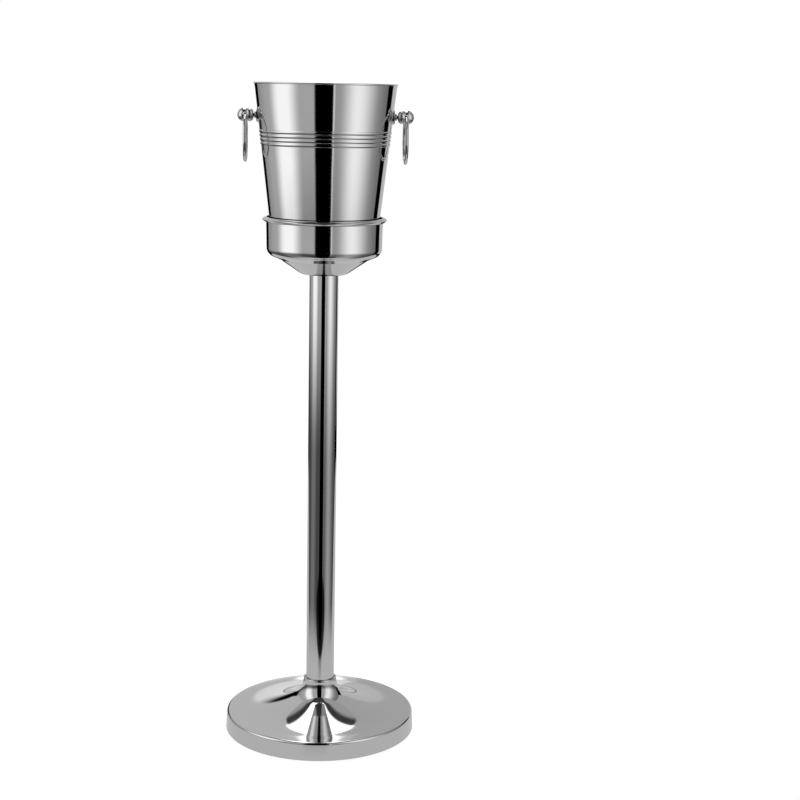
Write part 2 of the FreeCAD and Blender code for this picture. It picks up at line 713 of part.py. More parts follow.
def make_knob_screw(side, angle):
    body = new_body("knob_screw_" + side)
    face = "wall_at_knob - bucket_wall - seal_stand"
    end = "wall_at_knob + rosette_crown + small_screw_reach - thread_end_gap"
    spun(body, "screw_" + side, [
        (face + " - small_head_height", "0"),
        (end, "0"),
        (end, "small_screw_radius"),
        (face, "small_screw_radius"),
        (face, "small_head_radius"),
        (face + " - small_head_height / 2", "small_head_radius"),
        (face + " - small_head_height", "small_head_radius - small_head_height / 2",
         "small_head_height / 2", 1),
    ], axis="H_Axis")
    place_on_side(body, angle)
    return finish(body)


def make_knob(side, angle):
    """Turned knob: stem, small bead, large bead and ball, with an eye for the ring."""
    body = new_body("knob_" + side)
    start = "wall_at_knob + rosette_crown"
    ball_start = "wall_at_knob + saddle_reach"
    bead_end = start + " + neck_bead_width"
    spun(body, "knob_turned_" + side, [
        (start + " + small_screw_reach", "0"),
        (start + " + small_screw_reach", "small_screw_radius"),
        (start, "small_screw_radius"),
        (start, "neck_bead_radius - neck_bead_width / 2"),
        (bead_end, "neck_bead_radius - neck_bead_width / 2", "neck_bead_round", -1),
        (bead_end, "stem_radius"),
        ("wall_at_knob + knob_bead_start", "stem_radius"),
        ("wall_at_knob + knob_bead_start", "knob_bead_foot"),
        (ball_start, "saddle_radius", "knob_bead_round", -1),
        ("wall_at_knob + knob_reach", "0", "ball_radius", -1),
    ], axis="H_Axis")
    eye = new_sketch(body, "eye_outline_" + side, "XY_Plane")
    bind(eye, AttachmentOffset__Base__x="eye_x")
    add_outline(eye, [
        ("0", "-eye_half_length"),
        ("eye_mouth_radius", "-eye_half_length"),
        ("eye_radius", "-eye_straight"),
        ("eye_radius", "eye_straight"),
        ("eye_mouth_radius", "eye_half_length"),
        ("0", "eye_half_length"),
    ])
    cut = body.newObject("PartDesign::Groove", "eye_" + side)
    cut.Profile = eye
    cut.ReferenceAxis = (eye, ["V_Axis"])
    cut.Angle = 360
    document.recompute()
    place_on_side(body, angle)
    return finish(body)


def make_ring(side, sign):
    ring = document.addObject("Part::Torus", "ring_" + side)
    ring.Label = "ring_" + side
    ring.Placement = FreeCAD.Placement(
        FreeCAD.Vector(), FreeCAD.Rotation(FreeCAD.Vector(0, 1, 0), 90))
    bind(ring, Radius1="ring_mean_radius", Radius2="ring_wire / 2",
         Placement__Base__x="eye_x * %d" % sign, Placement__Base__z="ring_level")
    return finish(ring)


# ----------------------------------------------------------------------------------------------
def build():
    make_base_cover()
    make_base_weight()
    make_base_plate()
    make_plate_screws()
    make_floor_ring()
    make_washer("base_washer", "bolt_radius", "bolt_seat", False)
    make_base_bolt()
    make_pole_tube()
    make_plug("lower_plug", "neck_level", "bolt_radius")
    make_plug("upper_plug", "cup_level - plug_length", "cup_screw_radius")
    make_support_dish()
    make_cradle_cup()
    make_washer("cup_washer", "cup_screw_radius", "cup_level + cup_wall", True)
    make_cup_screw()
    make_bucket_body()
    for side, angle, sign in SIDES:
        make_rosette(side, angle)
        make_seal(side, angle)
        make_knob_screw(side, angle)
        make_knob(side, angle)
        make_ring(side, sign)
    document.recompute()


def check():
    """Stops if any object failed or any sub-part isn't made of valid closed solids."""
    for item in document.Objects:
        if "Invalid" in item.State or "Error" in item.State:
            raise RuntimeError("%s did not recompute: %s" % (item.Label, item.State))
        if item.TypeId == "Sketcher::SketchObject" and not item.FullyConstrained:
            raise RuntimeError("%s is not fully constrained" % item.Label)
    far_away = FreeCAD.Vector(number("total_height") * 10, 0, 0)
    for item in finished:
        shape = item.Shape
        if shape.isNull() or not shape.isValid() or not shape.Solids:
            raise RuntimeError("%s has no valid solid" % item.Label)
        for solid in shape.Solids:
            if solid.isInside(far_away, number("running_gap"), True):
                raise RuntimeError("%s is inside out" % item.Label)


def export():
    os.makedirs("parts", exist_ok=True)
    for item in finished:
        item.Shape.exportStep("parts/%s.step" % item.Label)
        box = item.Shape.BoundBox
        print("%-18s solids %d  volume %9.0f  z %.2f to %.2f" % (
            item.Label, len(item.Shape.Solids), item.Shape.Volume, box.ZMin, box.ZMax))


build()
check()
export()
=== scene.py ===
import json
import math

import bpy
from mathutils import Matrix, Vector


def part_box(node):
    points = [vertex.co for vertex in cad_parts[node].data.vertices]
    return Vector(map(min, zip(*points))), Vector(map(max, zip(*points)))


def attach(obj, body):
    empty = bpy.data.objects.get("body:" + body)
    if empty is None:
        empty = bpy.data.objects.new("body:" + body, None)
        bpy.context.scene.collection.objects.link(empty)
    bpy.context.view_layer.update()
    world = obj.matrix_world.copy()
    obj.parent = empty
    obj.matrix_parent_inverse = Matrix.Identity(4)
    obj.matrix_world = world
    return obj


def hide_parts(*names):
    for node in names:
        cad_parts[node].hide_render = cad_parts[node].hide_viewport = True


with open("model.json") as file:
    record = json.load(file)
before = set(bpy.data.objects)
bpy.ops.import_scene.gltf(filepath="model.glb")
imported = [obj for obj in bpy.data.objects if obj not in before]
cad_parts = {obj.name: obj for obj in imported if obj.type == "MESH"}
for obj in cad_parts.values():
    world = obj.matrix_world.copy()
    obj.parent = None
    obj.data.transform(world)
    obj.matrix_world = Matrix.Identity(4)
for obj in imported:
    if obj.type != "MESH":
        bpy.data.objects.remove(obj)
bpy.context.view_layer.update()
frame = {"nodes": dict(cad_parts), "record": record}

MM = 0.001
SIDES = ("left", "right")

# Sheet of the bucket and the base cover
SHEET = 0.8 * MM
# Bucket. The round of its foot ends at an angle in radians, where the wall begins
FOOT_RADIUS = 70.0 * MM
FOOT_ROUND = 2.0 * MM
FOOT_ROUND_END = -0.06
FLOOR_RISE = 3.0 * MM
FLOOR_MARGIN = 16.0 * MM
BEAD_STAND = 0.9 * MM
BEAD_RADIUS = 1.3 * MM
RIB_COUNT = 4
RIB_DROP = 73.0 * MM
RIB_PITCH = 5.4 * MM
RIB_WIDTH = 4.5 * MM
RIB_ROUND = 3.56 * MM
# Points along each stretch of the bucket's outline
FOOT_POINTS = 8
WALL_POINTS = 24
RIB_POINTS = 27
NECK_POINTS = 12
BEAD_POINTS = 32
INNER_RIB_POINTS = 18
INNER_FOOT_POINTS = 6
BUCKET_STEPS = 192
# Ring handles, which hang a little turned in their eyes
RING_TURN = math.radians(3.5)
RING_STEPS = 168
WIRE_STEPS = 28
# Base cover
SKIRT_DRAFT = 1.2 * MM
SKIRT_TOP = 26.2 * MM
SKIRT_ROUND = 3.5 * MM
RIM_WIDTH = 17.7 * MM
RIM_ANGLE = math.radians(1.0)
BELL_ANGLE = math.radians(26.0)
NECK_SWEEP = 28.0 * MM
NECK_DROP = 1.2 * MM
COLLAR_HEIGHT = 2.3 * MM
COLLAR_GAP = 0.7 * MM
COLLAR_THICKNESS = 2.9 * MM
COLLAR_ROUND = 1.1 * MM
COLLAR_EASE = 0.1 * MM
BOLT_HOLE = 5.5 * MM
# Points along each stretch of the cover's outline
SKIRT_POINTS = 6
SHOULDER_POINTS = 12
SWEEP_POINTS = 60
BELL_POINTS = 40
COLLAR_POINTS = 16
COVER_STEPS = 240
# Edges that fold more than this stay crisp
CRISP_FOLD = math.radians(35.0)
# How far a polish's marks are drawn out along their run
DRAWN_STRETCH = 0.01
TURNED_STRETCH = 0.2
# Studio: a round tent, drawn out behind the stand, with a roof set a little off the middle
TENT_RADIUS = 1.5
TENT_STRETCH = 2.2
TENT_FLOOR = -0.004
ROOF_HEIGHT = 2.6
ROOF_MIDDLE = -0.16
SEAM_START = 0.002
SEAM_END = 0.006
TENT_EYE = 1.0 * MM
FLOOR_RADIUS = 0.5
FLOOR_EYE = 0.5 * MM
DISC_STEPS = 180
# Camera
SENSOR_WIDTH = 36.0
LENS_LENGTH = 72.3
CAMERA_PLACE = (0.108, -2.208, 0.905)
CAMERA_TILT = math.radians(90.0 - 10.846)
CAMERA_ROLL = math.radians(1.11)


# Node maths

class Wire:
    """An output of a node. Arithmetic on it adds Math nodes to its tree."""

    def __init__(self, tree, socket=None):
        self.tree = tree
        self.socket = socket

    def add(self, kind, settings=None, values=None, output=0):
        """Adds a node. Its settings are set first, then its sockets take the values or the wires given."""
        node = self.tree.nodes.new(kind)
        for name, setting in (settings or {}).items():
            setattr(node, name, setting)
        for key, value in (values or {}).items():
            if isinstance(value, Wire):
                self.tree.links.new(value.socket, node.inputs[key])
            else:
                node.inputs[key].default_value = value
        return Wire(self.tree, node.outputs[output] if node.outputs else None)

    def maths(self, operation, first, second=0.0):
        return self.add("ShaderNodeMath", {"operation": operation}, {0: first, 1: second})

    def __add__(self, other):
        return self.maths("ADD", self, other)

    def __radd__(self, other):
        return self.maths("ADD", other, self)

    def __sub__(self, other):
        return self.maths("SUBTRACT", self, other)

    def __rsub__(self, other):
        return self.maths("SUBTRACT", other, self)

    def __mul__(self, other):
        return self.maths("MULTIPLY", self, other)

    def __rmul__(self, other):
        return self.maths("MULTIPLY", other, self)

    def __truediv__(self, other):
        return self.maths("DIVIDE", self, other)

    def __rtruediv__(self, other):
        return self.maths("DIVIDE", other, self)

    def __neg__(self):
        return self.maths("MULTIPLY", self, -1.0)

    def __abs__(self):
        return self.maths("ABSOLUTE", self)

    def root(self):
        return self.maths("SQRT", self)

    def fade(self, start, end):
        """0 up to start and 1 from end, with a smooth step between them."""
        return self.add(
            "ShaderNodeMapRange",
            {"interpolation_type": "SMOOTHSTEP"},
            {"Value": self, "From Min": start, "From Max": end},
        )

    def band(self, low, high, soft):
        """1 between low and high and 0 outside, over a soft edge centred on each."""
        return self.fade(low - soft / 2, low + soft / 2) * (1.0 - self.fade(high - soft / 2, high + soft / 2))

    def parts(self):
        """The three numbers of a vector."""
        split = self.add("ShaderNodeSeparateXYZ", None, {0: self})
        node = split.socket.node
        return [Wire(self.tree, node.outputs[i]) for i in range(3)]


def new_material(name):
    """An empty material, and a wire to start its tree from."""
    material = bpy.data.materials.new(name)
    material.use_nodes = True
    material.node_tree.nodes.clear()
    return material, Wire(material.node_tree)


def grey(level):
    """A colour with no hue."""
    return (level, level, level, 1.0)


def finish_material(material, start, settings):
    """Shows a principled surface with these values."""
    surface = start.add("ShaderNodeBsdfPrincipled", None, settings)
    start.add("ShaderNodeOutputMaterial", None, {"Surface": surface})
    return material


def noise(place, scale, detail=2.0):
    """A cloudy number between 0 and 1."""
    return place.add("ShaderNodeTexNoise", None, {"Vector": place, "Scale": scale, "Detail": detail}, "Fac")


def mixed(factor, first, second):
    """The colour between two colours."""
    values = {"Factor": factor, "A": first, "B": second}
    return factor.add("ShaderNodeMix", {"data_type": "RGBA"}, values, "Result")


def bumped(height, distance):
    """The normal of a surface with this relief."""
    values = {"Strength": 1.0, "Distance": distance, "Height": height}
    return height.add("ShaderNodeBump", None, values, "Normal")


def vector(first, second, third):
    """A vector from three numbers."""
    return first.add("ShaderNodeCombineXYZ", None, {"X": first, "Y": second, "Z": third})


# Finishes

def marks_round(place):
    """Places whose pattern runs round the stand's axis."""
    across, along, up = place.parts()
    return vector((across * across + along * along).root(), up, 0.0)


def marks_up(place):
    """Places whose pattern runs up the stand's axis."""
    across, along, up = place.parts()
    return vector(across, along, up * DRAWN_STRETCH)


def marks_turned(place):
    """Places whose pattern runs round the knobs' axis."""
    across, along, up = place.parts()
    return vector(across, (along * along + up * up).root() * TURNED_STRETCH, 0.0)


def polished_steel(name, marks, roughness, waviness, tone=0.66):
    """Mirror-polished stainless steel: marks laid by a rule, faint waves in the sheet and a little haze."""
    material, start = new_material(name)
    place = start.add("ShaderNodeTexCoord", None, None, "Object")
    haze = noise(place, 18.0, 3.0)
    lines = noise(marks(place), 1600.0, 3.0)
    wipes = noise(place, 60.0, 4.0).fade(0.52, 0.72)
    waves = noise(place, 22.0, 1.0)
    return finish_material(material, start, {
        "Metallic": 1.0,
        "Base Color": mixed(haze, grey(tone + 0.02), grey(tone - 0.02)),
        "Roughness": roughness + haze * 0.02 + lines * 0.02 + wipes * 0.015,
        "Normal": bumped(waves + lines * 0.006, waviness),
    })


def satin_steel():
    """The inside of the bucket and of the base cover: fine brushing round the axis."""
    material, start = new_material("satin_steel")
    place = start.add("ShaderNodeTexCoord", None, None, "Object")
    lines = noise(marks_round(place), 2600.0, 4.0)
    clouds = noise(place, 30.0, 3.0)
    return finish_material(material, start, {
        "Metallic": 1.0,
        "Base Color": mixed(clouds, (0.60, 0.60, 0.61, 1.0), (0.54, 0.54, 0.55, 1.0)),
        "Roughness": 0.22 + lines * 0.14 + clouds * 0.04,
        "Normal": bumped(lines, 0.00003),
    })


def zinc_plate():
    """Bright zinc on pressed steel: cloudy, with fine grain and a faint blue cast."""
    material, start = new_material("zinc_plated_steel")
    place = start.add("ShaderNodeTexCoord", None, None, "Object")
    clouds = noise(place, 55.0, 5.0)
    grain = noise(place, 1500.0, 2.0)
    spots = noise(place, 260.0, 3.0).fade(0.62, 0.74)
    return finish_material(material, start, {
        "Metallic": 1.0,
        "Base Color": mixed(clouds, (0.58, 0.60, 0.63, 1.0), (0.46, 0.47, 0.48, 1.0)),
        "Roughness": 0.28 + clouds * 0.14 + spots * 0.12,
        "Normal": bumped(grain + clouds, 0.00004),
    })


def cast_iron():
    """Sand-cast iron, painted thinly: coarse pits over a fine grain."""
    material, start = new_material("cast_iron")
    place = start.add("ShaderNodeTexCoord", None, None, "Object")
    grain = noise(place, 700.0, 4.0)
    lumps = noise(place, 90.0, 3.0)
    rust = noise(place, 40.0, 6.0).fade(0.60, 0.72)
    return finish_material(material, start, {
        "Base Color": mixed(rust, mixed(grain, grey(0.030), grey(0.062)), (0.10, 0.055, 0.035, 1.0)),
        "Roughness": 0.62 + grain * 0.20 + rust * 0.12,
        "Normal": bumped(grain * 0.5 + lumps, 0.0005),
    })


def black_rubber():
    """Matt moulded rubber with a fine bloom."""
    material, start = new_material("black_rubber")
    place = start.add("ShaderNodeTexCoord", None, None, "Object")
    bloom = noise(place, 70.0, 5.0)
    grain = noise(place, 1900.0, 2.0)
    return finish_material(material, start, {
        "Base Color": mixed(bloom, grey(0.014), grey(0.034)),
        "Roughness": 0.62 + bloom * 0.20,
        "Normal": bumped(grain, 0.00008),
    })


def milky_silicone():
    """Soft washers: a milky, slightly cloudy rubber."""
    material, start = new_material("clear_silicone")
    place = start.add("ShaderNodeTexCoord", None, None, "Object")
    clouds = noise(place, 240.0, 3.0)
    grain = noise(place, 1200.0, 2.0)
    return finish_material(material, start, {
        "Base Color": mixed(clouds, (0.80, 0.81, 0.80, 1.0), (0.68, 0.70, 0.70, 1.0)),
        "Roughness": 0.34 + clouds * 0.16,
        "Transmission Weight": 0.45,
        "IOR": 1.41,
        "Normal": bumped(grain, 0.00003),
    })


# Light of the studio. A turn is in degrees round from the front, positive to the right.

def side_boxes(turn):
    """Brightness of the soft boxes left and right, each with a brighter middle."""
    left = turn.band(-140.0, -15.5, 4.0) * (0.36 + 0.16 * turn.fade(-138.0, -105.0))
    left = left + turn.fade(-104.0, -78.0) * (1.0 - turn.fade(-64.0, -38.0)) * 0.85
    right = turn.band(15.0, 122.0, 3.0) * (0.22 + 0.20 * (1.0 - turn.fade(85.0, 120.0)))
    right = right + turn.fade(22.0, 56.0) * (1.0 - turn.fade(56.0, 100.0)) * 0.80
    right = right + turn.band(14.8, 17.5, 1.0) * 0.4
    return left, right


def wall_light(turn, height, left, right, beside):
    """Brightness of the walls: soft boxes that dim low down, and a lit wall high up behind with a strip."""
    left_low = left * (0.16 + 0.84 * height.fade(0.05, 0.50))
    right_low = right * (0.35 + 0.65 * height.fade(0.00, 0.48))
    back = turn.fade(139.0, 142.0) * 0.6 + (1.0 - turn.fade(-168.0, -162.0)) * 0.90
    behind = abs(turn).fade(118.0, 130.0) * height.fade(0.88, 1.05)
    upper = 0.50 + 0.12 * turn.fade(-60.0, -150.0)
    strip = (beside - 0.40 * height.fade(2.0, 2.6)).fade(0.12, 0.06) * abs(turn).fade(140.0, 150.0)
    upper = upper * (1.0 - strip) + 2.2 * strip
    return (left_low + right_low + back) * (1.0 - behind) + upper * behind


def roof_light(along, beside):
    """Brightness of the roof: a soft box over the rear half, and dimly lit sides."""
    overhead = beside.fade(0.50, 0.42) * along.fade(0.05, 0.35)
    return 0.05 + 2.2 * overhead + 0.40 * beside.fade(0.66, 0.90)


def ground_light(turn, reach, left, right):
    """Brightness of the ground: pale round and behind the stand, dim further out, a dark mat in front."""
    gap = abs(turn).fade(20.0, 6.0)
    rear = abs(turn).fade(105.0, 140.0)
    near = 1.0 - (reach + gap * 0.14 - rear * 1.2).fade(0.28, 0.62)
    ground = (left * 0.16 + right * 0.35) * (1.0 - near) + 0.62 * near
    ahead = (reach - 0.56) / 0.24
    aside = turn / 34.0
    mat = (ahead * ahead + aside * aside).root().fade(1.06, 0.92)
    return ground * (1.0 - 0.92 * mat)


def studio_light():
    """The light of the tent's walls, roof and ground, which meet in soft seams."""
    material, start = new_material("studio_light")
    across, along, height = start.add("ShaderNodeTexCoord", None, None, "Object").parts()
    turn = start.maths("ARCTAN2", across, -along) * math.degrees(1.0)
    reach = (across * across + along * along).root()
    beside = abs(across - ROOF_MIDDLE)
    left, right = side_boxes(turn)
    walls = wall_light(turn, height, left, right, beside)
    roof = roof_light(along, beside)
    ground = ground_light(turn, reach, left, right)
    above_ground = height.fade(TENT_FLOOR + SEAM_START, TENT_FLOOR + SEAM_END)
    under_roof = height.fade(ROOF_HEIGHT - SEAM_START, ROOF_HEIGHT - SEAM_END)
    shine = walls * above_ground * under_roof + ground * (1.0 - above_ground) + roof * (1.0 - under_roof)
    light = start.add("ShaderNodeEmission", None, {"Color": shine, "Strength": 1.0})
    start.add("ShaderNodeOutputMaterial", None, {"Surface": light})
    return material


def pale_floor():
    """A matt white floor that fades away round its edge."""
    material, start = new_material("pale_floor")
    place = start.add("ShaderNodeTexCoord", None, None, "Object")
    across, along, _ = place.parts()
    reach = (across * across + along * along).root()
    paper = mixed(noise(place, 40.0), grey(0.51), grey(0.49))
    matt = start.add("ShaderNodeBsdfDiffuse", None, {"Color": paper})
    glow = start.add("ShaderNodeEmission", None, {"Strength": 0.80})
    surface = start.add("ShaderNodeAddShader", None, {0: matt, 1: glow})
    clear = start.add("ShaderNodeBsdfTransparent")
    faded = start.add("ShaderNodeMixShader", None, {0: reach.fade(0.36, FLOOR_RADIUS), 1: surface, 2: clear})
    start.add("ShaderNodeOutputMaterial", None, {"Surface": faded})
    return material


# Node trees that make shapes

def new_tree(name, inputs):
    """A geometry tree with a geometry output and these inputs, and a dict of wires to the inputs."""
    tree = bpy.data.node_groups.new(name, "GeometryNodeTree")
    tree.is_modifier = True
    for label, kind in inputs:
        tree.interface.new_socket(label, in_out="INPUT", socket_type=kind)
    tree.interface.new_socket("Geometry", in_out="OUTPUT", socket_type="NodeSocketGeometry")
    start = Wire(tree)
    entry = tree.nodes.new("NodeGroupInput")
    return start, {label: Wire(tree, entry.outputs[label]) for label, _ in inputs}


def close_tree(start, geometry):
    """Ends a tree with this geometry."""
    start.add("NodeGroupOutput", None, {"Geometry": geometry})
    return start.tree


def smooth_with_edges(start, geometry):
    """Shades faces smoothly, apart from crisp edges."""
    fold = start.add("GeometryNodeInputMeshEdgeAngle", None, None, "Unsigned Angle")
    sharp = start.maths("GREATER_THAN", fold, CRISP_FOLD)
    geometry = start.add("GeometryNodeSetShadeSmooth", {"domain": "FACE"}, {"Geometry": geometry})
    return start.add(
        "GeometryNodeSetShadeSmooth",
        {"domain": "EDGE"},
        {"Geometry": geometry, "Selection": sharp, "Shade Smooth": False},
    )


def turned_tree():
    """Turns an outline round the axis, presses ribs into its wall and gives the inside its own finish."""
    start, given = new_tree("turned_sheet", [
        ("Outline", "NodeSocketGeometry"),
        ("Points", "NodeSocketInt"),
        ("Steps", "NodeSocketInt"),
        ("Rib Count", "NodeSocketInt"),
        ("Rib Level", "NodeSocketFloat"),
        ("Rib Pitch", "NodeSocketFloat"),
        ("Rib Width", "NodeSocketFloat"),
        ("Rib Round", "NodeSocketFloat"),
        ("Outside", "NodeSocketMaterial"),
        ("Inside", "NodeSocketMaterial"),
    ])
    rows = given["Steps"] + 1.0
    size = {"Vertices X": given["Points"], "Vertices Y": rows}
    grid = start.add("GeometryNodeMeshGrid", None, size, "Mesh")
    index = start.add("GeometryNodeInputIndex")
    row = start.maths("FLOOR", (index + 0.5) / rows)
    angle = (index - row * rows) / given["Steps"] * math.tau
    position = start.add("GeometryNodeInputPosition")
    corner = start.add(
        "GeometryNodeSampleIndex",
        {"data_type": "FLOAT_VECTOR"},
        {"Geometry": given["Outline"], "Value": position, "Index": row},
        "Value",
    )
    radius, _, level = corner.parts()
    step = (level - given["Rib Level"]) / given["Rib Pitch"] + given["Rib Count"] / 2.0
    pressed = start.maths("GREATER_THAN", step, 0.0) * start.maths("LESS_THAN", step, given["Rib Count"])
    off = (start.maths("FRACT", step) - 0.5) * given["Rib Pitch"]
    half = given["Rib Width"] / 2.0
    round_squared = given["Rib Round"] * given["Rib Round"]
    arc = start.maths("MAXIMUM", round_squared - off * off, 0.0).root() - (round_squared - half * half).root()
    radius = radius + start.maths("MAXIMUM", arc, 0.0) * pressed
    place = vector(radius * start.maths("COSINE", angle), radius * start.maths("SINE", angle), level)
    turned = start.add("GeometryNodeSetPosition", None, {"Geometry": grid, "Position": place})
    turned = start.add("GeometryNodeMergeByDistance", None, {"Geometry": turned, "Distance": 1e-6})
    turned = start.add("GeometryNodeFlipFaces", None, {"Mesh": turned})
    turned = start.add("GeometryNodeSetMaterial", None, {"Geometry": turned, "Material": given["Outside"]})
    normal_across, normal_along, normal_up = start.add("GeometryNodeInputNormal").parts()
    across, along, _ = position.parts()
    outward = normal_across * across + normal_along * along
    lining = start.maths("LESS_THAN", outward, 0.0)
    lined = {"Geometry": turned, "Selection": lining, "Material": given["Inside"]}
    turned = start.add("GeometryNodeSetMaterial", None, lined)
    return close_tree(start, smooth_with_edges(start, turned))


def hoop_tree():
    """A ring handle of round wire, hung at its centre."""
    start, given = new_tree("ring_handle", [
        ("Radius", "NodeSocketFloat"),
        ("Wire", "NodeSocketFloat"),
        ("Centre", "NodeSocketVector"),
        ("Hang", "NodeSocketRotation"),
        ("Finish", "NodeSocketMaterial"),
    ])
    hoop = {"Resolution": RING_STEPS, "Radius": given["Radius"]}
    round_wire = {"Resolution": WIRE_STEPS, "Radius": given["Wire"]}
    circle = start.add("GeometryNodeCurvePrimitiveCircle", None, hoop, "Curve")
    section = start.add("GeometryNodeCurvePrimitiveCircle", None, round_wire, "Curve")
    wire = start.add("GeometryNodeCurveToMesh", None, {"Curve": circle, "Profile Curve": section})
    spot = start.add("GeometryNodeMeshLine", None, {"Count": 1, "Start Location": given["Centre"]}, "Mesh")
    hung = start.add(
        "GeometryNodeInstanceOnPoints",
        None,
        {"Points": spot, "Instance": wire, "Rotation": given["Hang"]},
    )
    hung = start.add("GeometryNodeRealizeInstances", None, {"Geometry": hung})
    hung = start.add("GeometryNodeSetMaterial", None, {"Geometry": hung, "Material": given["Finish"]})
    return close_tree(start, smooth_with_edges(start, hung))


def made_by(tree, name, outline, values):
    """A plain mesh object made by a geometry tree from an outline and its named inputs."""
    mesh = bpy.data.meshes.new(name + "_outline")
    joins = [(i, i + 1) for i in range(len(outline) - 1)]
    mesh.from_pydata([(radius, 0.0, level) for radius, level in outline], joins, [])
    rough = bpy.data.objects.new(name + "_outline", mesh)
    bpy.context.scene.collection.objects.link(rough)
    modifier = rough.modifiers.new("shape", "NODES")
    modifier.node_group = tree
    for item in tree.interface.items_tree:
        if item.in_out == "INPUT" and item.name in values:
            modifier[item.identifier] = values[item.name]
    rough.update_tag()
    bpy.context.view_layer.update()
    finished = bpy.data.meshes.new_from_object(rough.evaluated_get(bpy.context.evaluated_depsgraph_get()))
    finished.name = name
    bpy.data.objects.remove(rough)
    made = bpy.data.objects.new(name, finished)
    bpy.context.scene.collection.objects.link(made)
    return made


# Outlines, as (radius, height) points

def arc(centre, radius, start, end, count):
    """Points along an arc between two angles in radians."""
    across, up = centre
    turns = [start + (end - start) * i / count for i in range(count + 1)]
    return [(across + radius * math.cos(turn), up + radius * math.sin(turn)) for turn in turns]


def line(first, second, count):
    """Points from first up to, but not including, second."""
    return [tuple(a + (b - a) * i / count for a, b in zip(first, second)) for i in range(count)]


def bucket_outline():
    """Up the outside from the middle of the floor, over the bead and down the inside."""
    low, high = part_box("bucket_body")
    foot = low.z
    top = high.z
    rim = high.x
    slope = (rim - BEAD_STAND - FOOT_RADIUS) / (top - foot)
    floor_radius = FOOT_RADIUS - FLOOR_MARGIN
    rib_span = RIB_PITCH * RIB_COUNT
    rib_foot = top - RIB_DROP - rib_span / 2
    rib_head = rib_foot + rib_span
    bead = (rim - BEAD_RADIUS, top - BEAD_RADIUS)
    off = BEAD_RADIUS - BEAD_STAND
    pull = 0.4 * SHEET
    swing = math.acos(off / BEAD_RADIUS)
    bead_foot = bead[1] - BEAD_RADIUS * math.sin(swing)

    def wall(level, inset=0.0):
        return (FOOT_RADIUS + slope * (level - foot) - inset, level)

    corner = foot + FOOT_ROUND
    foot_centre = (FOOT_RADIUS - FOOT_ROUND, corner)
    outside = [(0.0, foot + FLOOR_RISE), (floor_radius, foot + FLOOR_RISE), (floor_radius + FLOOR_RISE, foot)]
    outside += arc(foot_centre, FOOT_ROUND, -math.pi / 2, FOOT_ROUND_END, FOOT_POINTS)
    outside += line(wall(corner), wall(rib_foot), WALL_POINTS)
    outside += line(wall(rib_foot), wall(rib_head), RIB_POINTS * RIB_COUNT)
    outside += line(wall(rib_head), wall(bead_foot), NECK_POINTS)
    outside += arc(bead, BEAD_RADIUS, -swing, swing + math.pi, BEAD_POINTS)
    inside = line(wall(bead_foot - off, SHEET), wall(rib_head, SHEET), NECK_POINTS)
    inside += line(wall(rib_head, SHEET), wall(rib_foot, SHEET), INNER_RIB_POINTS * RIB_COUNT)
    inside += line(wall(rib_foot, SHEET), wall(corner, SHEET), WALL_POINTS)
    inside += arc(foot_centre, FOOT_ROUND - SHEET, FOOT_ROUND_END, -math.pi / 2, INNER_FOOT_POINTS)
    inside += [(floor_radius + FLOOR_RISE - pull, foot + SHEET)]
    inside += [(floor_radius - pull, foot + FLOOR_RISE + SHEET), (0.0, foot + FLOOR_RISE + SHEET)]
    return outside + inside


def cover_face(inset):
    """Up the cover's face, or up a line that lies inset behind it, from the hem to the neck."""
    low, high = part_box("base_cover")
    hem = low.z
    base = high.x
    skirt = base - SKIRT_DRAFT
    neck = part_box("pole_tube")[1].x + COLLAR_GAP + COLLAR_THICKNESS
    rim_inner = skirt - RIM_WIDTH
    rim_level = SKIRT_TOP + RIM_WIDTH * math.tan(RIM_ANGLE)
    bell = neck + NECK_SWEEP * (1 - math.sin(BELL_ANGLE))
    sweep = (rim_inner - bell) / (math.sin(BELL_ANGLE) - math.sin(RIM_ANGLE))
    bell_level = rim_level + sweep * (math.cos(RIM_ANGLE) - math.cos(BELL_ANGLE))
    neck_foot = bell_level + NECK_SWEEP * math.cos(BELL_ANGLE)
    run = SKIRT_ROUND * math.tan((math.pi / 2 - RIM_ANGLE) / 2)
    lean = math.atan(SKIRT_DRAFT / (SKIRT_TOP - run - hem))
    down = -math.pi / 2
    shoulder = (skirt - SKIRT_ROUND, SKIRT_TOP - run)
    above_rim = (rim_inner + sweep * math.sin(RIM_ANGLE), rim_level + sweep * math.cos(RIM_ANGLE))
    beside_neck = (neck + NECK_SWEEP, neck_foot)
    face = line((base - inset, hem), (skirt - inset, SKIRT_TOP - run), SKIRT_POINTS)
    face += arc(shoulder, SKIRT_ROUND - inset, lean, -down - RIM_ANGLE, SHOULDER_POINTS)
    face += arc(above_rim, sweep + inset, down - RIM_ANGLE, down - BELL_ANGLE, SWEEP_POINTS)
    face += arc(beside_neck, NECK_SWEEP + inset, down - BELL_ANGLE, -math.pi, BELL_POINTS)[1:]
    return face, neck - inset, neck_foot + NECK_DROP


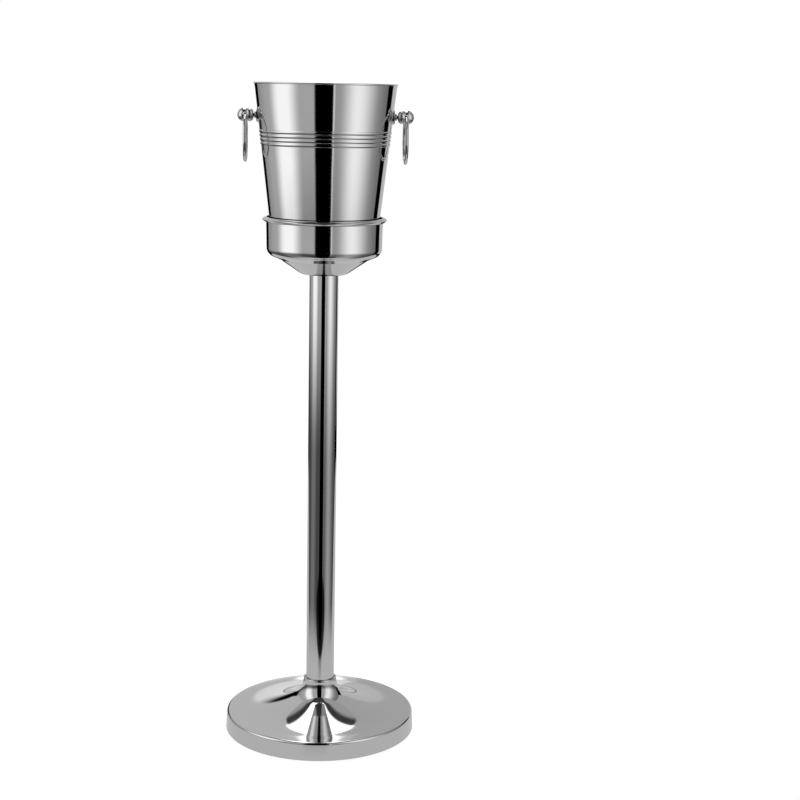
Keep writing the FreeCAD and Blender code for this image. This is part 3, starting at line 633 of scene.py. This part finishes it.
def cover_outline():
    """Up the cover's face, over the collar, in along the shelf, and down the sheet's underside to the hem."""
    face, neck, shelf = cover_face(0.0)
    under, _, _ = cover_face(SHEET)
    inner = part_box("pole_tube")[1].x + COLLAR_GAP
    shoulder = shelf + COLLAR_HEIGHT - COLLAR_ROUND
    half = (neck - inner) / 2
    crown = (half * half + COLLAR_ROUND * COLLAR_ROUND) / (2 * COLLAR_ROUND)
    reach = math.asin(min(1.0, half / crown))
    middle = ((neck + inner) / 2, shelf + COLLAR_HEIGHT - crown)
    outline = face + [(neck, shelf)]
    outline += arc(middle, crown, math.pi / 2 - reach, math.pi / 2 + reach, COLLAR_POINTS)
    outline += [(inner, shoulder - COLLAR_EASE), (inner, shelf), (BOLT_HOLE, shelf)]
    outline += [(BOLT_HOLE, shelf - SHEET), (neck - SHEET, shelf - SHEET)]
    return outline + under[::-1] + face[:1]


# Studio

def disc(name, material, rings):
    """A stage piece turned from (radius, height) points."""
    turns = [math.tau * step / DISC_STEPS for step in range(DISC_STEPS)]
    verts = [(r * math.cos(turn), r * math.sin(turn), level) for r, level in rings for turn in turns]
    faces = []
    for ring in range(len(rings) - 1):
        for step in range(DISC_STEPS):
            low = ring * DISC_STEPS + step
            low_next = ring * DISC_STEPS + (step + 1) % DISC_STEPS
            faces.append((low, low_next, low_next + DISC_STEPS, low + DISC_STEPS))
    mesh = bpy.data.meshes.new(name)
    mesh.from_pydata(verts, [], faces)
    mesh.materials.append(material)
    made = bpy.data.objects.new(name, mesh)
    bpy.context.scene.collection.objects.link(made)
    return made


def make_studio():
    """The tent that lights the stand, the floor under it and a white room beyond."""
    tent = disc("studio_tent", studio_light(), [
        (TENT_EYE, TENT_FLOOR),
        (TENT_RADIUS, TENT_FLOOR),
        (TENT_RADIUS, ROOF_HEIGHT),
        (TENT_EYE, ROOF_HEIGHT),
    ])
    for vertex in tent.data.vertices:
        vertex.co.y *= TENT_STRETCH if vertex.co.y > 0 else 1.0
    tent.visible_camera = False
    tent.visible_shadow = False
    floor = disc("floor", pale_floor(), [(FLOOR_EYE, 0.0), (FLOOR_RADIUS, 0.0)])
    floor.visible_glossy = False
    world = bpy.data.worlds.new("white_room")
    world.use_nodes = True
    world.node_tree.nodes["Background"].inputs["Color"].default_value = grey(1.0)
    bpy.context.scene.world = world
    bpy.context.scene.view_settings.view_transform = "Standard"


def make_camera():
    """The camera stands in front at the height of the rim, and looks slightly down."""
    lens = bpy.data.cameras.new("camera")
    lens.sensor_width = SENSOR_WIDTH
    lens.lens = LENS_LENGTH
    camera = bpy.data.objects.new("camera", lens)
    bpy.context.scene.collection.objects.link(camera)
    tilt = Matrix.Rotation(CAMERA_TILT, 4, "X")
    roll = Matrix.Rotation(CAMERA_ROLL, 4, "Z")
    camera.matrix_world = Matrix.Translation(CAMERA_PLACE) @ tilt @ roll
    bpy.context.scene.camera = camera


# Object

def make_bucket(tree, outside, inside):
    """The bucket's sheet, with its ribs and its bead."""
    outline = bucket_outline()
    bucket = made_by(tree, "bucket_wall", outline, {
        "Points": len(outline),
        "Steps": BUCKET_STEPS,
        "Rib Count": RIB_COUNT,
        "Rib Level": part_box("bucket_body")[1].z - RIB_DROP,
        "Rib Pitch": RIB_PITCH,
        "Rib Width": RIB_WIDTH,
        "Rib Round": RIB_ROUND,
        "Outside": outside,
        "Inside": inside,
    })
    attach(bucket, "bucket")
    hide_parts("bucket_body")


def make_cover(tree, outside, inside):
    """The base's spun cover, which has no ribs."""
    outline = cover_outline()
    cover = made_by(tree, "base_bell", outline, {
        "Points": len(outline),
        "Steps": COVER_STEPS,
        "Rib Count": 0,
        "Rib Level": 0.0,
        "Rib Pitch": RIB_PITCH,
        "Rib Width": RIB_WIDTH,
        "Rib Round": RIB_ROUND,
        "Outside": outside,
        "Inside": inside,
    })
    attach(cover, "stand")
    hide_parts("base_cover")


def make_ring(tree, side, finish):
    """The ring handle of one side."""
    low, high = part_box("ring_" + side)
    wire = (high.x - low.x) / 2
    ring = made_by(tree, "handle_" + side, [(0.0, 0.0), (0.0, wire)], {
        "Radius": (high.y - low.y) / 2 - wire,
        "Wire": wire,
        "Centre": (low + high) / 2,
        "Hang": (0.0, math.pi / 2, RING_TURN),
        "Finish": finish,
    })
    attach(ring, "ring_" + side)
    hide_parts("ring_" + side)


def finish_nodes(finishes, polished):
    """Gives each CAD piece the finish of its slot, and the polished ones the marks of how they were made."""
    for part in frame["record"]["subparts"]:
        name = part["node"]
        materials = frame["nodes"][name].data.materials
        materials.clear()
        materials.append(polished.get(name) or finishes[part["material_slot"]])


make_studio()
make_camera()

spun = polished_steel("spun_steel", marks_round, roughness=0.035, waviness=0.00007)
drawn = polished_steel("drawn_steel", marks_up, roughness=0.035, waviness=0.00005)
sheet = polished_steel("bucket_steel", marks_round, roughness=0.030, waviness=0.00012)
# The knobs' and rosettes' steel has a darker tone than the sheet's: painted shade that makes their
# reflections darker.
turned = polished_steel("turned_steel", marks_turned, roughness=0.008, waviness=0.000004, tone=0.56)
wire = polished_steel("wire_steel", marks_turned, roughness=0.008, waviness=0.000003, tone=0.60)
satin = satin_steel()
polished_nodes = {"pole_tube": drawn, "support_dish": spun, "cradle_cup": spun}
for side in SIDES:
    polished_nodes["knob_" + side] = turned
    polished_nodes["rosette_" + side] = turned
finish_nodes({
    "polished_steel": spun,
    "cast_iron": cast_iron(),
    "zinc_plated_steel": zinc_plate(),
    "black_rubber": black_rubber(),
    "clear_silicone": milky_silicone(),
}, polished_nodes)

turned_sheet = turned_tree()
make_bucket(turned_sheet, sheet, satin)
make_cover(turned_sheet, spun, satin)
ring_handle = hoop_tree()
for side in SIDES:
    make_ring(ring_handle, side, wire)
